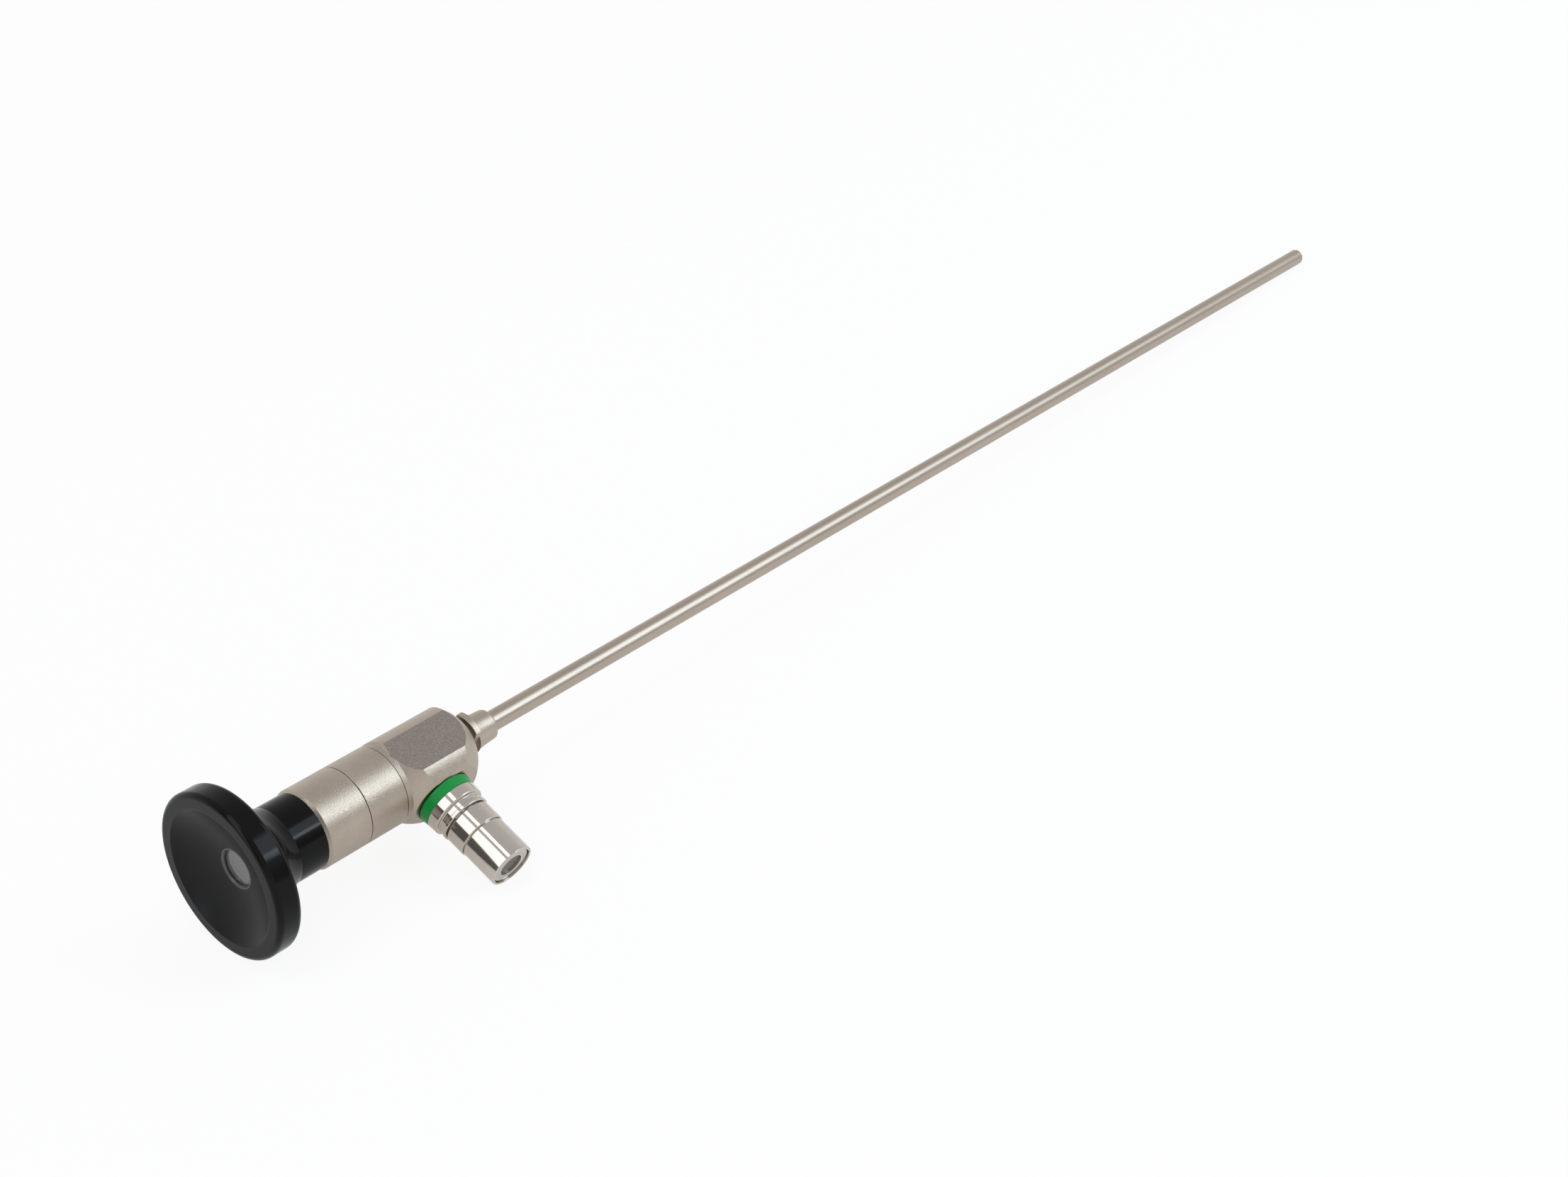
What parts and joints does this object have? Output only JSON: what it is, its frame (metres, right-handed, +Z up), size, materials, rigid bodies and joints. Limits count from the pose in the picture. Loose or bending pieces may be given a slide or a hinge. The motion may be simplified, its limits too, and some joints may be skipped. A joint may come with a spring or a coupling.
{
  "type": "rigid endoscope",
  "caption": "Straight rigid endoscope with a slim steel shaft, black eyecup, flat-sided steel body, green direction ring and an angled light post.",
  "frame": {"origin": "under the middle of the whole object, on the surface on which it lies", "axes": "+X along the shaft toward its tip, level; -Y the side of the light post; +Z up from the surface"},
  "size_m": [0.3614, 0.0425, 0.0321],
  "materials": {
    "eyecup_plastic": "satin black moulded plastic",
    "black_metal": "blackened ring",
    "window_glass": "polished sapphire window",
    "lens_glass": "polished optical glass",
    "inner_steel": "turned stainless steel",
    "inner_aluminium": "blackened aluminium",
    "inner_brass": "turned brass",
    "seal_rubber": "matt rubber",
    "satin_steel": "satin blasted stainless steel",
    "shaft_steel": "polished stainless steel tube",
    "bright_steel": "mirror polished stainless steel",
    "green_plastic": "green colour ring",
    "light_fibre": "ground and polished glass fibres"
  },
  "bodies": {
    "root": {"eyecup": "eyecup_plastic", "window_ring": "black_metal", "eyepiece_window": "window_glass", "eyepiece_core": "inner_steel", "ocular_cell": "inner_aluminium", "eye_lens": "lens_glass", "field_lens": "lens_glass", "lens_retainer": "inner_aluminium", "field_stop": "inner_brass", "rear_sleeve": "satin_steel", "front_sleeve": "satin_steel", "rear_seal": "seal_rubber", "front_seal": "seal_rubber", "body_block": "satin_steel", "sheath_lock": "satin_steel", "outer_tube": "shaft_steel", "fibre_layer": "light_fibre", "optic_tube": "inner_steel", "optic_bush": "inner_brass", "rod_lenses": "lens_glass", "lens_spacers": "inner_aluminium", "tip_ferrule": "inner_steel", "tip_window": "window_glass", "objective_lens": "lens_glass", "objective_rod": "lens_glass", "light_post": "bright_steel", "colour_ring": "green_plastic", "post_sleeve": "bright_steel", "fibre_ferrule": "bright_steel", "fibre_bundle": "light_fibre", "fibre_fan": "light_fibre"}
  },
  "joints": []
}
